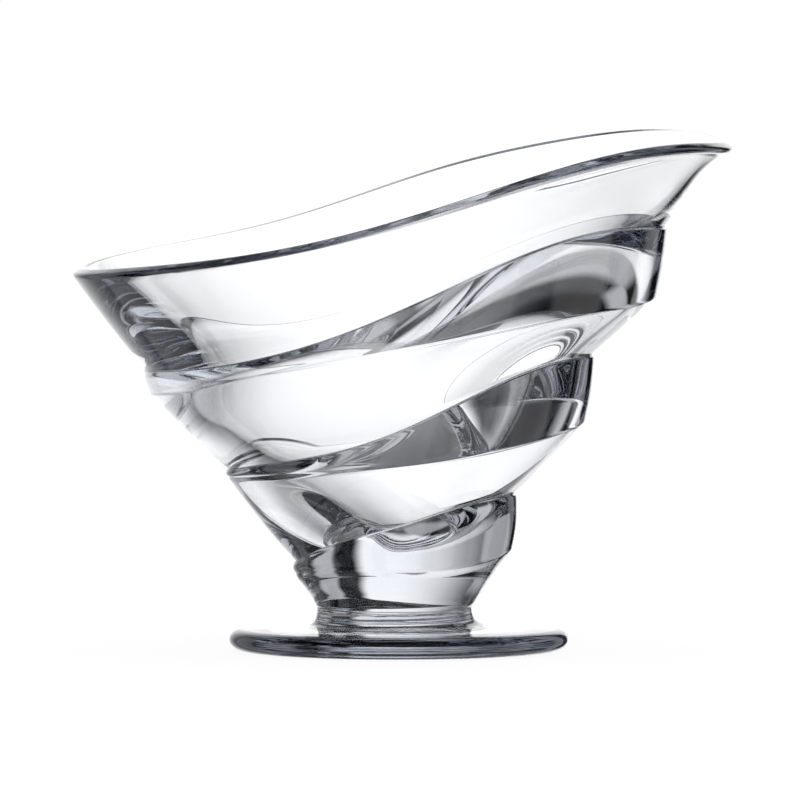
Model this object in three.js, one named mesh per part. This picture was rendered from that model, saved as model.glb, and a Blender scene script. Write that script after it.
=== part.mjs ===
// A footed dessert cup of clear pressed glass, in millimetres with +Z up.
// The foot's axis is Z and the cup stands on z = 0. The rim slants: it is highest at +X and lowest at -X,
// and its +Y and -Y flanks are alike but for a swell of the rim on the +Y flank.
import * as THREE from 'three';

// Foot: a flat disc with a full round edge, a slightly crowned top and a shallow hollow under it
const FOOT_RADIUS = 34;
const FOOT_EDGE_HEIGHT = 4.4;
const FOOT_EDGE_ROUND = 2.8;
const FOOT_CROWN = 0.8;
const STANDING_RING_WIDTH = 6;
const FOOT_HOLLOW_DEPTH = 0.9;

// Neck: a short collar that flares from the bowl's waist, a little off centre, down to the foot
const NECK_BASE_RADIUS = 18.2;
const NECK_HEIGHT = 3.4;
const WAIST_RADIUS = { low: 16.4, high: 14.6 };

// Bowl: three tiers, each a cone that ends in an upright band, then the rim's own cone.
// Heights are given at the low side (-X), at both flanks (+Y and -Y) and at the high side (+X).
// A shoulder lifts the high half's diagonals and lowers the low half's. A swell lifts all four diagonals.
// Radii are given at the low side and the high side of the band's foot, and a lean widens the band's top.
const LOWER_CONE_HEIGHT = { low: 6.2, flank: 8.7, high: 11.8, shoulder: -0.7, swell: 0 };
const LOWER_BAND_HEIGHT = { low: 3.0, flank: 8.7, high: 10.8, shoulder: 0.7, swell: 0.7 };
const LOWER_BAND_RADIUS = { low: 20.6, high: 22.8 };
const LOWER_BAND_LEAN = { low: 0.4, high: 0.8 };
const MIDDLE_CONE_HEIGHT = { low: 16.4, flank: 12.4, high: 14.6, shoulder: -0.4, swell: -0.7 };
const MIDDLE_BAND_HEIGHT = { low: 2.0, flank: 7.3, high: 13.2, shoulder: 1.4, swell: 1.5 };
const MIDDLE_BAND_RADIUS = { low: 34.0, high: 37.4 };
const MIDDLE_BAND_LEAN = { low: 0.6, high: 1.8 };
const UPPER_CONE_HEIGHT = { low: 15.2, flank: 16.9, high: 11.6, shoulder: -1.0, swell: -1.5 };
const UPPER_BAND_HEIGHT = { low: 4.8, flank: 7.7, high: 14.0, shoulder: 2.2, swell: 1.3 };
const UPPER_BAND_RADIUS = { low: 50.0, high: 51.6 };
const UPPER_BAND_LEAN = { low: 1.2, high: 2.2 };
const LEDGE_WIDTH = { low: 0.3, high: 0.7 };
const LEDGE_RISE = 0.15;
const RIM_CONE_HEIGHT = { low: 19.2, flank: 17.5, high: 16.0, shoulder: -0.6, swell: 0.2 };
const RIM_RADIUS = { low: 65.6, high: 67.2 };

// The rim's swell on one flank: its height, its angle from the high side and how narrow it is
const RIM_SWELL = { height: 2.4, angle: THREE.MathUtils.degToRad(84), narrowness: 24 };

// How far a cone or band is hollowed (negative) or bulges (positive) at the middle of its height
const LOWER_CONE_BOW = -0.3;
const LOWER_BAND_BOW = 0.4;
const MIDDLE_CONE_BOW = 0.3;
const MIDDLE_BAND_BOW = 0.3;
const UPPER_CONE_BOW = 0.1;
const UPPER_BAND_BOW = 0.2;
const RIM_CONE_BOW = { low: 0.2, high: -0.6 };

// Glass thickness of the lip, halfway up the rim's cone, at the upper ledge, halfway down the upper tier, at
// the middle ledge and of the solid bottom. Where it varies, it is given as the heights are.
const LIP_WALL = 2.9;
const RIM_WALL = { low: 5.0, flank: 2.6, high: 2.6 };
const UPPER_LEDGE_WALL = { low: 6.4, flank: 2.4, high: 2.4 };
const UPPER_TIER_WALL = { low: 5.1, flank: 5.1, high: 4.1 };
const MIDDLE_LEDGE_WALL = { low: 6.7, flank: 4.9, high: 2.5 };
const BOTTOM_THICKNESS = 11.9;

// Rounding of the moulded corners and of the fire-polished lip, as the reach along each side of the corner,
// and the lip's tilt towards the inside
const CORNER_ROUND = 0.7;
const LIP_ROUND = 0.5;
const LIP_TILT = THREE.MathUtils.degToRad(4);

// The largest share of a side that its corner's rounding may take
const MOST_ROUND = 0.45;

// Facets: around the axis, on a rounded corner, along a curved stretch, up a bowed wall, down the inside and
// across its bottom
const SEGMENTS = 64;
const CORNER_STEPS = 2;
const CURVE_STEPS = 5;
const WALL_STEPS = 2;
const LINING_STEPS = 10;
const BOTTOM_STEPS = 7;

const FOOT_TOP = FOOT_EDGE_HEIGHT + FOOT_CROWN;
const BOWL_SEAT = FOOT_TOP + NECK_HEIGHT;

const TIERS = [
  {
    coneHeight: LOWER_CONE_HEIGHT,
    coneBow: LOWER_CONE_BOW,
    bandHeight: LOWER_BAND_HEIGHT,
    bandBow: LOWER_BAND_BOW,
    bandRadius: LOWER_BAND_RADIUS,
    bandLean: LOWER_BAND_LEAN,
  },
  {
    coneHeight: MIDDLE_CONE_HEIGHT,
    coneBow: MIDDLE_CONE_BOW,
    bandHeight: MIDDLE_BAND_HEIGHT,
    bandBow: MIDDLE_BAND_BOW,
    bandRadius: MIDDLE_BAND_RADIUS,
    bandLean: MIDDLE_BAND_LEAN,
  },
  {
    coneHeight: UPPER_CONE_HEIGHT,
    coneBow: UPPER_CONE_BOW,
    bandHeight: UPPER_BAND_HEIGHT,
    bandBow: UPPER_BAND_BOW,
    bandRadius: UPPER_BAND_RADIUS,
    bandLean: UPPER_BAND_LEAN,
  },
];

function point(radius, height) {
  return new THREE.Vector2(radius, height);
}

// A value that goes smoothly from the low side to the high side, t being the angle from the high side
function sideways(size, t) {
  return (size.low + size.high) / 2 + ((size.high - size.low) / 2) * Math.cos(t);
}

// A value that also has its own size at both flanks
function throughFlank(size, t) {
  const towardsFlank = (1 - Math.cos(2 * t)) / 2;
  return sideways(size, t) + (size.flank - (size.low + size.high) / 2) * towardsFlank;
}

// A height around the bowl, with its shoulder and its swell
function heightAround(size, t) {
  const shoulder = size.shoulder * (Math.cos(t) - Math.cos(3 * t));
  const swell = (size.swell * (1 - Math.cos(4 * t))) / 2;
  return throughFlank(size, t) + shoulder + swell;
}

// A lift that is full at the swell's angle and falls away smoothly on both sides of it
function swellAround(swell, t) {
  return swell.height * ((1 + Math.cos(t - swell.angle)) / 2) ** swell.narrowness;
}

function halfway(a, b) {
  return a.clone().lerp(b, 0.5);
}

// The way through the glass, inwards and up, square to a stretch of wall from a to b
function inwards(a, b) {
  const along = b.clone().sub(a).normalize();
  return point(-along.y, along.x);
}

// The point at a depth under a place on the outside, square to the wall from a to b
function under(place, a, b, depth) {
  return place.clone().addScaledVector(inwards(a, b), depth);
}

// Points of a quadratic curve from start to end, without its start
function curved(start, control, end, steps) {
  return new THREE.QuadraticBezierCurve(start, control, end).getPoints(steps).slice(1);
}

// Points of a wall from start to end that stands out by bow at its middle, without its start
function bowed(start, end, bow, steps) {
  return curved(start, under(halfway(start, end), start, end, -2 * bow), end, steps);
}

// The rounding of a corner, by the reach along its two sides or less where a side is short
function rounded(before, corner, after, reach) {
  const back = before.clone().sub(corner);
  const ahead = after.clone().sub(corner);
  const fitting = Math.min(reach, MOST_ROUND * back.length(), MOST_ROUND * ahead.length());
  const start = corner.clone().addScaledVector(back.normalize(), fitting);
  const end = corner.clone().addScaledVector(ahead.normalize(), fitting);
  return [start, ...curved(start, corner, end, CORNER_STEPS)];
}

// The bowl's outline at one angle: up the outside from the waist, over the lip and down the inside
function bowlOutline(t) {
  const waist = point(sideways(WAIST_RADIUS, t), BOWL_SEAT);
  const corners = [waist];
  const ledges = [];
  const bows = [];
  let height = BOWL_SEAT;
  for (const tier of TIERS) {
    height += heightAround(tier.coneHeight, t);
    const bandFoot = point(sideways(tier.bandRadius, t), height);
    height += heightAround(tier.bandHeight, t);
    const bandTop = point(bandFoot.x + sideways(tier.bandLean, t), height);
    const ledge = point(bandTop.x - sideways(LEDGE_WIDTH, t), height + LEDGE_RISE);
    corners.push(bandFoot, bandTop, ledge);
    bows.push(tier.coneBow, tier.bandBow, 0);
    ledges.push(ledge);
  }
  const [lowerLedge, middleLedge, upperLedge] = ledges;
  const lipHeight = height + heightAround(RIM_CONE_HEIGHT, t) + swellAround(RIM_SWELL, t);
  const lip = point(sideways(RIM_RADIUS, t), lipHeight);
  corners.push(lip);

  const outside = [waist];
  bows.forEach((bow, i) => {
    const corner = rounded(corners[i], corners[i + 1], corners[i + 2], CORNER_ROUND);
    const wall = bow ? bowed(outside.at(-1), corner[0], bow, WALL_STEPS) : [corner[0]];
    outside.push(...wall, ...corner.slice(1));
  });

  const rimBow = sideways(RIM_CONE_BOW, t);
  const lipFace = inwards(upperLedge, lip).rotateAround(point(0, 0), LIP_TILT);
  const innerLip = lip.clone().addScaledVector(lipFace, LIP_WALL / Math.cos(LIP_TILT));
  const rimInside = under(halfway(upperLedge, lip), upperLedge, lip, throughFlank(RIM_WALL, t) - rimBow);
  const lipCorner = rounded(upperLedge, lip, innerLip, LIP_ROUND);
  const innerLipCorner = rounded(lip, innerLip, rimInside, LIP_ROUND);
  outside.push(...bowed(outside.at(-1), lipCorner[0], rimBow, CURVE_STEPS));
  outside.push(...lipCorner.slice(1), ...innerLipCorner);

  // The inside follows the outside at the thicknesses given and ends in a round bottom
  const tierInside = halfway(middleLedge, upperLedge);
  const above = under(tierInside, middleLedge, upperLedge, throughFlank(UPPER_TIER_WALL, t));
  const last = under(middleLedge, lowerLedge, upperLedge, throughFlank(MIDDLE_LEDGE_WALL, t));
  const lining = new THREE.SplineCurve([
    outside.at(-1),
    rimInside,
    under(upperLedge, middleLedge, lip, throughFlank(UPPER_LEDGE_WALL, t)),
    above,
    last,
  ]).getPoints(LINING_STEPS).slice(1);
  const bottom = point(0, BOWL_SEAT + BOTTOM_THICKNESS);
  const bend = last.clone().lerp(above, (bottom.y - last.y) / (above.y - last.y));
  return [...outside, ...lining, ...curved(last, bend, bottom, BOTTOM_STEPS)];
}

// A closed skin around the axis from an outline at each angle, with a flat underside at its first height
function skinAround(outlineAt) {
  const outlines = [];
  for (let i = 0; i < SEGMENTS; i += 1) {
    outlines.push(outlineAt((2 * Math.PI * i) / SEGMENTS));
  }
  const rings = outlines[0].length - 1;
  const positions = [0, 0, outlines[0][0].y, 0, 0, outlines[0][rings].y];
  outlines.forEach((outline, i) => {
    const t = (2 * Math.PI * i) / SEGMENTS;
    for (const p of outline.slice(0, rings)) {
      positions.push(p.x * Math.cos(t), p.x * Math.sin(t), p.y);
    }
  });
  const vertex = (i, j) => 2 + (i % SEGMENTS) * rings + j;
  const faces = [];
  for (let i = 0; i < SEGMENTS; i += 1) {
    faces.push(0, vertex(i + 1, 0), vertex(i, 0));
    for (let j = 0; j < rings - 1; j += 1) {
      faces.push(vertex(i, j), vertex(i + 1, j), vertex(i + 1, j + 1));
      faces.push(vertex(i, j), vertex(i + 1, j + 1), vertex(i, j + 1));
    }
    faces.push(vertex(i, rings - 1), vertex(i + 1, rings - 1), 1);
  }
  const geometry = new THREE.BufferGeometry();
  geometry.setAttribute('position', new THREE.Float32BufferAttribute(positions, 3));
  geometry.setIndex(faces);
  geometry.computeVertexNormals();
  return geometry;
}

// The neck's outline at one angle: its seat on the foot, a hollow flare up to the waist and its flat top
function neckOutline(t) {
  const base = point(NECK_BASE_RADIUS, FOOT_TOP);
  const waist = point(sideways(WAIST_RADIUS, t), BOWL_SEAT);
  return [base, ...curved(base, point(waist.x, FOOT_TOP), waist, CURVE_STEPS), point(0, BOWL_SEAT)];
}

// The foot's outline: the hollow underside, the standing ring, the round edge and the crowned top
function footOutline() {
  const edgeCentre = FOOT_RADIUS - FOOT_EDGE_ROUND;
  const hollowRadius = edgeCentre - STANDING_RING_WIDTH;
  const hollow = new THREE.QuadraticBezierCurve(
    point(0, FOOT_HOLLOW_DEPTH),
    point(hollowRadius / 2, FOOT_HOLLOW_DEPTH),
    point(hollowRadius, 0),
  ).getPoints(CURVE_STEPS);
  const edge = new THREE.EllipseCurve(
    edgeCentre,
    FOOT_EDGE_HEIGHT / 2,
    FOOT_EDGE_ROUND,
    FOOT_EDGE_HEIGHT / 2,
    -Math.PI / 2,
    Math.PI / 2,
  ).getPoints(2 * CURVE_STEPS);
  return [...hollow, ...edge, point(NECK_BASE_RADIUS, FOOT_TOP), point(0, FOOT_TOP)];
}

// A piece turned around Z from an outline that starts and ends on the axis
function turned(outline) {
  return new THREE.LatheGeometry(outline, SEGMENTS).rotateX(Math.PI / 2);
}

function clearGlass(name, geometry) {
  const material = new THREE.MeshStandardMaterial({
    color: 0xf2f6f7,
    roughness: 0.03,
    metalness: 0,
    transparent: true,
    opacity: 0.35,
  });
  const mesh = new THREE.Mesh(geometry, material);
  mesh.name = name;
  return mesh;
}

const cup = new THREE.Group();
cup.add(clearGlass('foot', turned(footOutline())));
cup.add(clearGlass('neck', skinAround(neckOutline)));
cup.add(clearGlass('bowl', skinAround(bowlOutline)));

export default cup;
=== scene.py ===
"""A footed dessert cup of clear pressed glass on a white table, lit from behind."""
import math

import bpy
import numpy as np
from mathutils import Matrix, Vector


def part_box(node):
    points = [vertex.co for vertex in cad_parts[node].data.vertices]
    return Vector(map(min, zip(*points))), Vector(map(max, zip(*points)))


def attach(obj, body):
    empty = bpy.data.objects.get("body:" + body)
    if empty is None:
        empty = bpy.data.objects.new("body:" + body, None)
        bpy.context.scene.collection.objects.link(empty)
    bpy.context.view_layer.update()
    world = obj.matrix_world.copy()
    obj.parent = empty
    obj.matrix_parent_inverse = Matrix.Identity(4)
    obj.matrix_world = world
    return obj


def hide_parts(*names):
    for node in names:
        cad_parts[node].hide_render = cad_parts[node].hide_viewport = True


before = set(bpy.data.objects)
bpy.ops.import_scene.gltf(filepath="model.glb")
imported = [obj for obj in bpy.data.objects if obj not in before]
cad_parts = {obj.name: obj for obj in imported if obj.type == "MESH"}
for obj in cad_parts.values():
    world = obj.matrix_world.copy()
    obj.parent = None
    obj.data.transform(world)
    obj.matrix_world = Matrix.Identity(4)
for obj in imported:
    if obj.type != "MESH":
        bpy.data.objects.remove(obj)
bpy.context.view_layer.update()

# Foot
# A flat disc of clear glass with a full round edge, pressed on its own. It stands on a narrow ring around a
# shallow hollow, and its crowned top is fused hot to the neck.
MM = 0.001
SEGMENTS = 300
ANGLES = np.linspace(0, 2 * np.pi, SEGMENTS, endpoint=False)
FOOT_RADIUS = 34.0
FOOT_EDGE_HEIGHT = 4.4
FOOT_EDGE_ROUND = 2.8
STANDING_RING_WIDTH = 6.0
FOOT_HOLLOW_DEPTH = 0.9
NECK_BASE_RADIUS = 18.2
FOOT_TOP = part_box("foot")[1].z / MM
GLASS_TINT = (0.996, 0.998, 1.0, 1.0)
GLASS_IOR = 1.52
DEEP_GLASS_TINT = (0.2, 0.25, 0.35, 1.0)
WAVE_SCALE = 55.0
WAVE_DETAIL = 1.0
STREAK_STRETCH = (90.0, 90.0, 1300.0)
STREAK_DETAIL = 2.0
HAZE_SCALE = 260.0
HAZE_DETAIL = 3.0
HAZE_START = 0.5
HAZE_FULL = 0.8
MOST_HAZE = 0.02
NOISE_MIDDLE = 0.5
FOOT_GLASS = dict(wave=0.03, streak=0.02, absorption=22.0)
HOLLOW_STEPS = 14
RING_STEPS = 4
EDGE_STEPS = 28
CROWN_STEPS = 10


def place(radius, height):
    """Outline points for all angles as complex numbers: radius as real part, height as imaginary part."""
    return np.asarray(radius) + 1j * np.asarray(height) + np.zeros(SEGMENTS)


def line(start, end, steps):
    """Rows of points from start to end in even steps, without the start."""
    share = np.linspace(0, 1, steps + 1)[1:, None]
    return start * (1 - share) + end * share


def arch(start, control, end, steps):
    """Rows of points on a quadratic curve, without its start.

    It leaves start and reaches end along the lines to control.
    """
    share = np.linspace(0, 1, steps + 1)[1:, None]
    return start * (1 - share) ** 2 + control * 2 * share * (1 - share) + end * share**2


def closed_skin(name, rows, joint_below=False, joint_above=False):
    """A closed skin around the axis from rows of outline points, one row for each step along the outline.

    The point with radius r and height z at angle t lies at (r cos t, r sin t, z). The first and last rows
    lie on the axis, so each becomes one point with a fan of faces around it. A fan that is a fused joint
    takes the second material and stays flat, and all other faces are smooth.
    """
    rings = rows[1:-1]
    across = rings.real * np.cos(ANGLES)
    away = rings.real * np.sin(ANGLES)
    points = np.stack([across, away, rings.imag], -1).reshape(-1, 3)
    poles = np.array([[0, 0, rows[0, 0].imag], [0, 0, rows[-1, 0].imag]])
    index = np.arange(rings.size).reshape(rings.shape)
    after = np.roll(index, -1, 1)
    walls = np.stack([index[:-1], after[:-1], after[1:], index[1:]], -1).reshape(-1, 4)
    below = np.stack([np.full(SEGMENTS, rings.size), after[0], index[0]], -1)
    above = np.stack([index[-1], after[-1], np.full(SEGMENTS, rings.size + 1)], -1)
    mesh = bpy.data.meshes.new(name)
    faces = walls.tolist() + below.tolist() + above.tolist()
    mesh.from_pydata((np.concatenate([points, poles]) * MM).tolist(), [], faces)
    joint = np.repeat([False, joint_below, joint_above], [len(walls), SEGMENTS, SEGMENTS])
    mesh.polygons.foreach_set("use_smooth", ~joint)
    mesh.polygons.foreach_set("material_index", joint.astype(np.int32))
    mesh.update()
    piece = bpy.data.objects.new(name, mesh)
    bpy.context.collection.objects.link(piece)
    return piece


def fire_polish():
    """A group with the marks that hot glass keeps: soft waves, fine streaks around the axis and a thin haze.

    Height is the waves' noise times Wave plus the streaks' noise times Streak, each noise counted from its
    middle. The streaks' noise is stretched sideways, so they run around the piece. Haze is a roughness in
    soft spots.
    """
    tree = bpy.data.node_groups.new("fire_polish", "ShaderNodeTree")
    tree.interface.new_socket("Place", in_out="INPUT", socket_type="NodeSocketVector")
    tree.interface.new_socket("Wave", in_out="INPUT", socket_type="NodeSocketFloat")
    tree.interface.new_socket("Streak", in_out="INPUT", socket_type="NodeSocketFloat")
    tree.interface.new_socket("Height", in_out="OUTPUT", socket_type="NodeSocketFloat")
    tree.interface.new_socket("Haze", in_out="OUTPUT", socket_type="NodeSocketFloat")
    entry = tree.nodes.new("NodeGroupInput")
    leave = tree.nodes.new("NodeGroupOutput")

    waves = tree.nodes.new("ShaderNodeTexNoise")
    waves.inputs["Scale"].default_value = WAVE_SCALE
    waves.inputs["Detail"].default_value = WAVE_DETAIL
    tree.links.new(entry.outputs["Place"], waves.inputs["Vector"])

    stretch = tree.nodes.new("ShaderNodeMapping")
    stretch.inputs["Scale"].default_value = STREAK_STRETCH
    streaks = tree.nodes.new("ShaderNodeTexNoise")
    streaks.inputs["Scale"].default_value = 1.0
    streaks.inputs["Detail"].default_value = STREAK_DETAIL
    tree.links.new(entry.outputs["Place"], stretch.inputs["Vector"])
    tree.links.new(stretch.outputs["Vector"], streaks.inputs["Vector"])

    spots = tree.nodes.new("ShaderNodeTexNoise")
    spots.inputs["Scale"].default_value = HAZE_SCALE
    spots.inputs["Detail"].default_value = HAZE_DETAIL
    haze = tree.nodes.new("ShaderNodeMapRange")
    haze.inputs["From Min"].default_value = HAZE_START
    haze.inputs["From Max"].default_value = HAZE_FULL
    haze.inputs["To Max"].default_value = MOST_HAZE
    tree.links.new(entry.outputs["Place"], spots.inputs["Vector"])
    tree.links.new(spots.outputs["Fac"], haze.inputs["Value"])

    total = None
    for noise, amount in ((waves, "Wave"), (streaks, "Streak")):
        centred = tree.nodes.new("ShaderNodeMath")
        centred.operation = "SUBTRACT"
        centred.inputs[1].default_value = NOISE_MIDDLE
        part = tree.nodes.new("ShaderNodeMath")
        part.operation = "MULTIPLY_ADD"
        tree.links.new(noise.outputs["Fac"], centred.inputs[0])
        tree.links.new(centred.outputs[0], part.inputs[0])
        tree.links.new(entry.outputs[amount], part.inputs[1])
        part.inputs[2].default_value = 0.0
        if total is not None:
            tree.links.new(total, part.inputs[2])
        total = part.outputs[0]
    tree.links.new(total, leave.inputs["Height"])
    tree.links.new(haze.outputs["Result"], leave.inputs["Haze"])
    return tree


POLISH = fire_polish()


def clear_glass(name, wave, streak, absorption):
    """Clear glass with fire-polish marks of the given heights in millimetres.

    Light that goes a long way inside the glass fades towards the deep tint, faster with more absorption.
    """
    material = bpy.data.materials.new(name)
    material.use_nodes = True
    tree = material.node_tree
    shader = tree.nodes["Principled BSDF"]
    shader.inputs["Base Color"].default_value = GLASS_TINT
    shader.inputs["Transmission Weight"].default_value = 1.0
    shader.inputs["IOR"].default_value = GLASS_IOR
    where = tree.nodes.new("ShaderNodeTexCoord")
    polish = tree.nodes.new("ShaderNodeGroup")
    polish.node_tree = POLISH
    polish.inputs["Wave"].default_value = wave
    polish.inputs["Streak"].default_value = streak
    bump = tree.nodes.new("ShaderNodeBump")
    bump.inputs["Distance"].default_value = MM
    tree.links.new(where.outputs["Object"], polish.inputs["Place"])
    tree.links.new(polish.outputs["Height"], bump.inputs["Height"])
    tree.links.new(polish.outputs["Haze"], shader.inputs["Roughness"])
    tree.links.new(bump.outputs["Normal"], shader.inputs["Normal"])
    body = tree.nodes.new("ShaderNodeVolumeAbsorption")
    body.inputs["Color"].default_value = DEEP_GLASS_TINT
    body.inputs["Density"].default_value = absorption
    tree.links.new(body.outputs["Volume"], tree.nodes["Material Output"].inputs["Volume"])
    return material


def fused_joint():
    """A face where two pieces were fused hot: light goes straight on through it, so nothing of it shows."""
    material = bpy.data.materials.new("fused_joint")
    material.use_nodes = True
    shader = material.node_tree.nodes["Principled BSDF"]
    shader.inputs["Base Color"].default_value = GLASS_TINT
    shader.inputs["Alpha"].default_value = 0.0
    return material


edge_centre = FOOT_RADIUS - FOOT_EDGE_ROUND
hollow_edge = edge_centre - STANDING_RING_WIDTH
hollow_top = place(0, FOOT_HOLLOW_DEPTH)
hollow_middle = place(hollow_edge / 2, FOOT_HOLLOW_DEPTH)
hollow = arch(hollow_top, hollow_middle, place(hollow_edge, 0), HOLLOW_STEPS)
ring = line(place(hollow_edge, 0), place(edge_centre, 0), RING_STEPS)[:-1]
edge_turn = np.linspace(-math.pi / 2, math.pi / 2, EDGE_STEPS + 1)[:, None]
edge_height = FOOT_EDGE_HEIGHT / 2 * (1 + np.sin(edge_turn))
edge = place(edge_centre + FOOT_EDGE_ROUND * np.cos(edge_turn), edge_height)
crown = line(edge[-1], place(NECK_BASE_RADIUS, FOOT_TOP), CROWN_STEPS)
foot_rows = np.concatenate([hollow_top[None], hollow, ring, edge, crown, place(0, FOOT_TOP)[None]])
foot = closed_skin("glass_foot", foot_rows, joint_above=True)
JOINT = fused_joint()
foot.data.materials.append(clear_glass("foot_glass", **FOOT_GLASS))
foot.data.materials.append(JOINT)
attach(foot, "root")
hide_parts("foot")

# Neck
# The short collar of glass between foot and bowl, drawn out hot so that it flares onto the foot, a little
# off centre at its top. Its two flat ends are fused to the foot's top and to the bowl's waist.
WAIST_RADIUS = dict(low=16.4, high=14.6)
BOWL_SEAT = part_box("neck")[1].z / MM
NECK_GLASS = dict(wave=0.02, streak=0.04, absorption=12.0)
FLARE_STEPS = 24


def sideways(low, high):
    """A size at every angle that swings as a cosine from low at -X to high at +X."""
    return (low + high) / 2 + (high - low) / 2 * np.cos(ANGLES)


waist = place(sideways(**WAIST_RADIUS), BOWL_SEAT)
neck_base = place(NECK_BASE_RADIUS, FOOT_TOP)
flare = arch(neck_base, place(waist.real, FOOT_TOP), waist, FLARE_STEPS)
neck_rows = np.concatenate([place(0, FOOT_TOP)[None], neck_base[None], flare, place(0, BOWL_SEAT)[None]])
neck = closed_skin("glass_neck", neck_rows, joint_below=True, joint_above=True)
neck.data.materials.append(clear_glass("neck_glass", **NECK_GLASS))
neck.data.materials.append(JOINT)
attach(neck, "root")
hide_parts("neck")

# Bowl
# One skin of pressed glass: three tiers outside, each a cone that ends in an upright band, then the rim's
# cone and a fire-polished lip, with a smooth funnel inside. Its flat waist is fused to the neck.
# Sizes are given at the low side (-X), at the flanks (+Y and -Y) and at the high side (+X).
LOWER_CONE_HEIGHT = dict(low=6.2, flank=8.7, high=11.8, shoulder=-0.7, swell=0.0)
LOWER_BAND_HEIGHT = dict(low=3.0, flank=8.7, high=10.8, shoulder=0.7, swell=0.7)
LOWER_BAND_RADIUS = dict(low=20.6, high=22.8)
LOWER_BAND_LEAN = dict(low=0.4, high=0.8)
MIDDLE_CONE_HEIGHT = dict(low=16.4, flank=12.4, high=14.6, shoulder=-0.4, swell=-0.7)
MIDDLE_BAND_HEIGHT = dict(low=2.0, flank=7.3, high=13.2, shoulder=1.4, swell=1.5)
MIDDLE_BAND_RADIUS = dict(low=34.0, high=37.4)
MIDDLE_BAND_LEAN = dict(low=0.6, high=1.8)
UPPER_CONE_HEIGHT = dict(low=15.2, flank=16.9, high=11.6, shoulder=-1.0, swell=-1.5)
UPPER_BAND_HEIGHT = dict(low=4.8, flank=7.7, high=14.0, shoulder=2.2, swell=1.3)
UPPER_BAND_RADIUS = dict(low=50.0, high=51.6)
UPPER_BAND_LEAN = dict(low=1.2, high=2.2)
LEDGE_WIDTH = dict(low=0.3, high=0.7)
LEDGE_RISE = 0.15
RIM_CONE_HEIGHT = dict(low=19.2, flank=17.5, high=16.0, shoulder=-0.6, swell=0.2)
RIM_RADIUS = dict(low=65.6, high=67.2)
RIM_SWELL = dict(height=2.4, angle=math.radians(84), narrowness=24)

# How far each wall stands out from straight at its middle, negative where it is hollowed
LOWER_CONE_BOW = -0.3
LOWER_BAND_BOW = 0.4
MIDDLE_CONE_BOW = 0.3
MIDDLE_BAND_BOW = 0.3
UPPER_CONE_BOW = 0.1
UPPER_BAND_BOW = 0.2
LEDGE_BOW = 0.0
RIM_CONE_BOW = dict(low=0.2, high=-0.6)

# Glass thickness at the lip, halfway up the rim's cone, at the upper ledge, halfway down the upper tier, at
# the middle ledge and under the funnel
LIP_WALL = 2.9
RIM_WALL = dict(low=5.0, flank=2.6, high=2.6)
UPPER_LEDGE_WALL = dict(low=6.4, flank=2.4, high=2.4)
UPPER_TIER_WALL = dict(low=5.1, flank=5.1, high=4.1)
MIDDLE_LEDGE_WALL = dict(low=6.7, flank=4.9, high=2.5)
BOTTOM_THICKNESS = 11.9

CORNER_ROUND = 0.7
LIP_ROUND = 1.0
LIP_TILT = math.radians(4)
MOST_ROUND = 0.45
WALL_STEPS = 10
ROUND_STEPS = 5
FUNNEL_STEPS = 18
LIP_STEPS = 3
BOTTOM_STEPS = 26
BOWL_GLASS = dict(wave=0.02, streak=0.0, absorption=12.0)


def through_flank(low, flank, high):
    """A size at every angle that swings from low to high, with a second wave to reach flank at +Y and -Y."""
    return sideways(low, high) + (flank - (low + high) / 2) * (1 - np.cos(2 * ANGLES)) / 2


def wavy(low, flank, high, shoulder, swell):
    """A height through low, flank and high with two more waves.

    The shoulder is the first wave less the third: it lifts the high half's diagonals and lowers the low
    half's. The swell is a fourth wave that lifts all four diagonals.
    """
    waves = shoulder * (np.cos(ANGLES) - np.cos(3 * ANGLES)) + swell * (1 - np.cos(4 * ANGLES)) / 2
    return through_flank(low, flank, high) + waves


def swelling(height, angle, narrowness):
    """A lift that is full at its own angle from +X and falls away smoothly on both sides.

    It is the height times a power, the narrowness, of a wave that swings once around between 0 and 1.
    """
    return height * ((1 + np.cos(ANGLES - angle)) / 2) ** narrowness


def tier(base, cone_height, band_height, band_radius, band_lean):
    """A tier's three corners above the height base: its band's foot, the band's top and the ledge on it."""
    band_foot = place(sideways(**band_radius), base + wavy(**cone_height))
    band_top = band_foot + place(sideways(**band_lean), wavy(**band_height))
    return band_foot, band_top, band_top + place(-sideways(**LEDGE_WIDTH), LEDGE_RISE)


def inwards(start, end):
    """The unit step through the glass, inwards and up, square to the wall from start to end."""
    return 1j * (end - start) / abs(end - start)


def bowed(start, end, bow, steps):
    """Rows of points from start to end on a curve that stands out by bow from the straight at its middle."""
    return arch(start, (start + end) / 2 - 2 * bow * inwards(start, end), end, steps)


def rounding(before, corner, after, reach):
    """Where a corner's rounding leaves the wall before it and joins the next, at the reach or nearer."""
    cut = np.minimum(reach, MOST_ROUND * np.minimum(abs(before - corner), abs(after - corner)))
    leave = corner + cut * (before - corner) / abs(before - corner)
    join = corner + cut * (after - corner) / abs(after - corner)
    return leave, join


def flowing(stations, steps):
    """Rows of points on one cubic curve through all stations, straight at both ends, without the first one.

    Four times the bend at a station, plus the bends at its two neighbours, is six times the second
    difference of the stations there. Each stretch is a straight line plus a cube of the way along it for the
    bend at each end.
    """
    inner = len(stations) - 2
    bends = np.zeros_like(stations)
    weights = 4 * np.eye(inner) + np.eye(inner, k=1) + np.eye(inner, k=-1)
    bends[1:-1] = np.linalg.solve(weights, 6 * np.diff(stations, 2, axis=0))
    share = np.linspace(0, 1, steps + 1)[1:, None, None]
    rest = 1 - share
    straight = rest * stations[:-1] + share * stations[1:]
    curve = ((rest**3 - rest) * bends[:-1] + (share**3 - share) * bends[1:]) / 6
    return (straight + curve).swapaxes(0, 1).reshape(-1, SEGMENTS)


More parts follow.
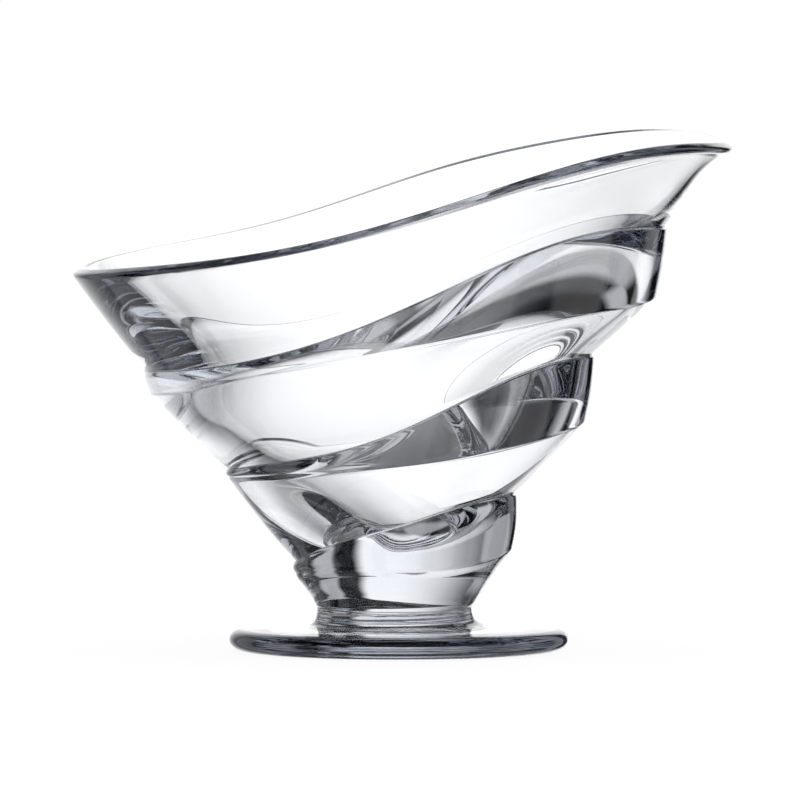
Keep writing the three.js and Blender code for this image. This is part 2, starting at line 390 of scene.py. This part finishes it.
lower = tier(BOWL_SEAT, LOWER_CONE_HEIGHT, LOWER_BAND_HEIGHT, LOWER_BAND_RADIUS, LOWER_BAND_LEAN)
middle = tier(lower[1].imag, MIDDLE_CONE_HEIGHT, MIDDLE_BAND_HEIGHT, MIDDLE_BAND_RADIUS, MIDDLE_BAND_LEAN)
upper = tier(middle[1].imag, UPPER_CONE_HEIGHT, UPPER_BAND_HEIGHT, UPPER_BAND_RADIUS, UPPER_BAND_LEAN)
lip_height = upper[1].imag + wavy(**RIM_CONE_HEIGHT) + swelling(**RIM_SWELL)
lip = place(sideways(**RIM_RADIUS), lip_height)
lower_ledge, middle_ledge, upper_ledge = lower[2], middle[2], upper[2]

corners = [waist, *lower, *middle, *upper, lip]
lower_bows = (LOWER_CONE_BOW, LOWER_BAND_BOW, LEDGE_BOW)
middle_bows = (MIDDLE_CONE_BOW, MIDDLE_BAND_BOW, LEDGE_BOW)
upper_bows = (UPPER_CONE_BOW, UPPER_BAND_BOW, LEDGE_BOW)
bows = lower_bows + middle_bows + upper_bows
outside = [place(0, BOWL_SEAT)[None], waist[None]]
for before, corner, after, bow in zip(corners, corners[1:], corners[2:], bows):
    leave, join = rounding(before, corner, after, CORNER_ROUND)
    outside += [bowed(outside[-1][-1], leave, bow, WALL_STEPS), arch(leave, corner, join, ROUND_STEPS)]

# The lip is a narrow face across the wall's top with both its edges rounded
rim_bow = sideways(**RIM_CONE_BOW)
through_rim = inwards(upper_ledge, lip)
inner_lip = lip + through_rim * np.exp(1j * LIP_TILT) * LIP_WALL / math.cos(LIP_TILT)
rim_inside = (upper_ledge + lip) / 2 + through_rim * (through_flank(**RIM_WALL) - rim_bow)
lip_leave, lip_join = rounding(upper_ledge, lip, inner_lip, LIP_ROUND)
inner_leave, inner_join = rounding(lip, inner_lip, rim_inside, LIP_ROUND)
rim_wall = bowed(outside[-1][-1], lip_leave, rim_bow, 2 * WALL_STEPS)
outside += [rim_wall, arch(lip_leave, lip, lip_join, ROUND_STEPS)]
outside += [line(lip_join, inner_leave, LIP_STEPS), arch(inner_leave, inner_lip, inner_join, ROUND_STEPS)]

# The funnel follows the outside at the thicknesses given and ends in a round bottom
upper_inside = upper_ledge + inwards(middle_ledge, lip) * through_flank(**UPPER_LEDGE_WALL)
tier_middle = (middle_ledge + upper_ledge) / 2
tier_inside = tier_middle + inwards(middle_ledge, upper_ledge) * through_flank(**UPPER_TIER_WALL)
middle_inside = middle_ledge + inwards(lower_ledge, upper_ledge) * through_flank(**MIDDLE_LEDGE_WALL)
bottom = place(0, BOWL_SEAT + BOTTOM_THICKNESS)
slope = (tier_inside - middle_inside) / (tier_inside - middle_inside).imag
bend = middle_inside + slope * (bottom - middle_inside).imag
stations = np.stack([inner_join, rim_inside, upper_inside, tier_inside, middle_inside])
funnel = flowing(stations, FUNNEL_STEPS)
funnel_end = arch(middle_inside, bend, bottom, BOTTOM_STEPS)
bowl = closed_skin("glass_bowl", np.concatenate([*outside, funnel, funnel_end]), joint_below=True)
bowl.data.materials.append(clear_glass("bowl_glass", **BOWL_GLASS))
bowl.data.materials.append(JOINT)
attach(bowl, "root")
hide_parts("bowl")

# Table
# A plain white table that shows the cup's faint shadow. Rays that the glass has bent don't see it: the
# studio's light reaches them from below as well, as on a lit acrylic table.
TABLE_HALF_WIDTH = 3.0
TABLE_DROP = 0.0002
TABLE_GLOW = 0.92
TABLE_GREY = (0.1, 0.1, 0.1, 1.0)
WHITE = (1.0, 1.0, 1.0, 1.0)

unit_corners = np.array([[-1, -1, 0], [1, -1, 0], [1, 1, 0], [-1, 1, 0]])
table_corners = unit_corners * TABLE_HALF_WIDTH - [0, 0, TABLE_DROP]
table_mesh = bpy.data.meshes.new("table")
table_mesh.from_pydata(table_corners.tolist(), [], [(0, 1, 2, 3)])
table = bpy.data.objects.new("table", table_mesh)
bpy.context.collection.objects.link(table)
table_paint = bpy.data.materials.new("white_table")
table_paint.use_nodes = True
paint = table_paint.node_tree.nodes["Principled BSDF"]
paint.inputs["Base Color"].default_value = TABLE_GREY
paint.inputs["Roughness"].default_value = 1.0
paint.inputs["Specular IOR Level"].default_value = 0.0
paint.inputs["Emission Color"].default_value = WHITE
paint.inputs["Emission Strength"].default_value = TABLE_GLOW
table.data.materials.append(table_paint)
table.visible_transmission = False
table.visible_glossy = False

# Studio light
# A bright panel stands behind the cup, with dark gaps beside it that draw the glass's edges, and weaker
# panels and windows stand around. Each edge of a panel has two angles in degrees, where it is dark and where
# it is full. The windows stand on both sides alike.
BACK_PANEL = dict(left=(-47, 6), right=(20, 14), low=(-46, -24), high=(43, 34), level=1.4)
RIGHT_PANEL = dict(left=(28, 32), right=(51, 43), low=(-30, -24), high=(38, 33), level=0.6)
LEFT_PANEL = dict(left=(-63, -57), right=(-31, -37), low=(-50, -40), high=(32, 22), level=0.55)
TABLE_PANEL = dict(left=(8, 14), right=(40, 30), low=(-60, -48), high=(-18, -27), level=0.55)
LOW_FILL = dict(high=(-32, -60), level=0.3)
FLOOR_FILL = dict(high=(-50, -60), level=0.65)
SIDE_WINDOW = dict(left=(72, 78), right=(108, 102), low=(-50, -40), high=(32, 22), level=0.85)
CORNER_WINDOW = dict(left=(121, 127), right=(149, 143), low=(-50, -40), high=(32, 22), level=0.85)
FRONT_WINDOW = dict(left=(158, 164), low=(-50, -40), high=(32, 22), level=0.85)
SHADE = 0.01
SHADE_TINT = (0.95, 0.95, 1.02, 1.0)
DEGREES = 180 / math.pi


def calculate(tree, operation, first, second=0.0):
    """The output of a Math node on sockets or plain numbers."""
    node = tree.nodes.new("ShaderNodeMath")
    node.operation = operation
    for socket, value in zip(node.inputs, (first, second)):
        if isinstance(value, bpy.types.NodeSocket):
            tree.links.new(value, socket)
        else:
            socket.default_value = value
    return node.outputs[0]


def eased(tree, value, dark, full):
    """0 where the value is at dark, 1 where it is at full, and a smooth step between them."""
    node = tree.nodes.new("ShaderNodeMapRange")
    node.interpolation_type = "SMOOTHSTEP"
    node.inputs["From Min"].default_value = dark
    node.inputs["From Max"].default_value = full
    tree.links.new(value, node.inputs["Value"])
    return node.outputs["Result"]


def panel(tree, azimuth, elevation, level, left=None, right=None, low=None, high=None):
    """A panel's brightness in a direction: its level times the smooth steps at the edges that it has."""
    light = level
    for angle, edge in ((azimuth, left), (azimuth, right), (elevation, low), (elevation, high)):
        if edge:
            light = calculate(tree, "MULTIPLY", eased(tree, angle, *edge), light)
    return light


world = bpy.data.worlds.new("studio")
world.use_nodes = True
bpy.context.scene.world = world
sky = world.node_tree
toward = sky.nodes.new("ShaderNodeTexCoord")
axes = sky.nodes.new("ShaderNodeSeparateXYZ")
sky.links.new(toward.outputs["Generated"], axes.inputs[0])
behind = calculate(sky, "ARCTAN2", axes.outputs["X"], axes.outputs["Y"])
azimuth = calculate(sky, "MULTIPLY", behind, DEGREES)
either_side = calculate(sky, "ABSOLUTE", azimuth)
above = calculate(sky, "ARCSINE", axes.outputs["Z"])
elevation = calculate(sky, "MULTIPLY", above, DEGREES)
brightness = SHADE
for fitting in (BACK_PANEL, RIGHT_PANEL, LEFT_PANEL, TABLE_PANEL, LOW_FILL, FLOOR_FILL):
    brightness = calculate(sky, "MAXIMUM", panel(sky, azimuth, elevation, **fitting), brightness)
for fitting in (SIDE_WINDOW, CORNER_WINDOW, FRONT_WINDOW):
    brightness = calculate(sky, "MAXIMUM", panel(sky, either_side, elevation, **fitting), brightness)

# The camera and the table see plain white all round, and only mirrored and bent rays see the panels
path = sky.nodes.new("ShaderNodeLightPath")
in_glass = calculate(sky, "MAXIMUM", path.outputs["Is Glossy Ray"], path.outputs["Is Transmission Ray"])
strength = sky.nodes.new("ShaderNodeMix")
strength.inputs["A"].default_value = 1.0
sky.links.new(in_glass, strength.inputs["Factor"])
sky.links.new(brightness, strength.inputs["B"])
tint = sky.nodes.new("ShaderNodeMix")
tint.data_type = "RGBA"
tint.inputs["A"].default_value = SHADE_TINT
tint.inputs["B"].default_value = WHITE
sky.links.new(strength.outputs["Result"], tint.inputs["Factor"])
background = sky.nodes["Background"]
sky.links.new(tint.outputs["Result"], background.inputs["Color"])
sky.links.new(strength.outputs["Result"], background.inputs["Strength"])

# Camera
# Far off and a little above the middle of the cup, as in the photograph, so there is hardly any perspective.
# Light may bounce many times, because it is guided a long way inside the glass walls.
CAMERA_DISTANCE = 5.0
CAMERA_ELEVATION = math.radians(3.05)
FRAME_WIDTH = 0.160
AIM = (0.0002, 0.0, 0.0501)
SENSOR = 36.0
ALL_BOUNCES = 96
GLASS_BOUNCES = 64

camera = bpy.data.objects.new("camera", bpy.data.cameras.new("camera"))
bpy.context.collection.objects.link(camera)
camera.location = (
    AIM[0],
    AIM[1] - CAMERA_DISTANCE * math.cos(CAMERA_ELEVATION),
    AIM[2] + CAMERA_DISTANCE * math.sin(CAMERA_ELEVATION),
)
camera.rotation_euler = (math.pi / 2 - CAMERA_ELEVATION, 0.0, 0.0)
camera.data.sensor_width = SENSOR
camera.data.lens = SENSOR * CAMERA_DISTANCE / FRAME_WIDTH
bpy.context.scene.camera = camera
bpy.context.scene.view_settings.view_transform = "Standard"
bpy.context.scene.cycles.max_bounces = ALL_BOUNCES
bpy.context.scene.cycles.glossy_bounces = GLASS_BOUNCES
bpy.context.scene.cycles.transmission_bounces = GLASS_BOUNCES
